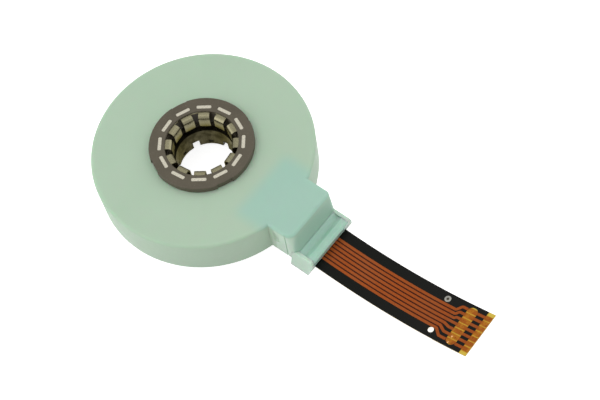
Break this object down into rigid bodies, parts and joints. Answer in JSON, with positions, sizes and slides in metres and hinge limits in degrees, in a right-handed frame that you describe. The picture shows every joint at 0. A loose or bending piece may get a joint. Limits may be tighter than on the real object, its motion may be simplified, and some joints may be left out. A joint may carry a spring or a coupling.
{
  "type": "steering angle sensor",
  "caption": "Flat round sensor that sits round a steering shaft, with a spring-finger rotor in its bore, a short neck with a cable clamp, and a flat ribbon with contacts at its end.",
  "frame": {"origin": "on the bore's axis, in the plane of the housing's underside", "axes": "+Z along the bore out of the flange, +X along the neck towards the ribbon's end"},
  "size_m": [0.1478, 0.075, 0.018],
  "materials": {
    "housing_green": "moulded, fine matt, pale mint green",
    "clamp_green": "moulded, satin, pale blue-green",
    "rotor_brown": "glass filled moulding, dark grey-brown",
    "spring_steel": "rolled spring steel, warm grey",
    "carrier_black": "moulded, matt black",
    "contact_metal": "sprung contact alloy, bright",
    "board_green": "laminate with green mask",
    "track_carbon": "printed carbon, matt",
    "ring_white": "low friction plastic, off-white",
    "solder": "solder, bright",
    "film_amber": "polyimide film, amber",
    "film_black": "cover film, satin black",
    "copper": "copper under cover film, satin",
    "pad_gold": "plated contact, amber gold",
    "stiffener": "backing film, matt amber",
    "eyelet_metal": "tinned, dull"
  },
  "bodies": {
    "housing": {"housing_cover": "housing_green", "housing_base": "housing_green", "cable_clamp": "clamp_green", "sensor_board": "board_green", "upper_tracks": "track_carbon", "lower_tracks": "track_carbon", "upper_slide_ring": "ring_white", "lower_slide_ring": "ring_white", "solder_joints": "solder", "ribbon_base_film": "film_amber", "ribbon_cover_film": "film_black", "ribbon_traces": "copper", "ribbon_contacts": "pad_gold", "ribbon_stiffener": "stiffener", "ribbon_eyelet": "eyelet_metal"},
    "input": {"input_rotor": "rotor_brown", "input_spring_clip": "spring_steel", "input_wiper_carrier": "carrier_black", "input_wiper": "contact_metal"},
    "output": {"output_rotor": "rotor_brown", "output_spring_clip": "spring_steel", "output_wiper_carrier": "carrier_black", "output_wiper": "contact_metal"}
  },
  "joints": [
    {"name": "input_turn", "type": "hinge", "parent": "housing", "child": "input", "pos_m": [0, 0, 0], "axis": [0, 0, 1], "continuous": true},
    {"name": "torsion_twist", "type": "hinge", "parent": "input", "child": "output", "pos_m": [0, 0, 0], "axis": [0, 0, 1], "range_deg": [-8, 8]}
  ]
}
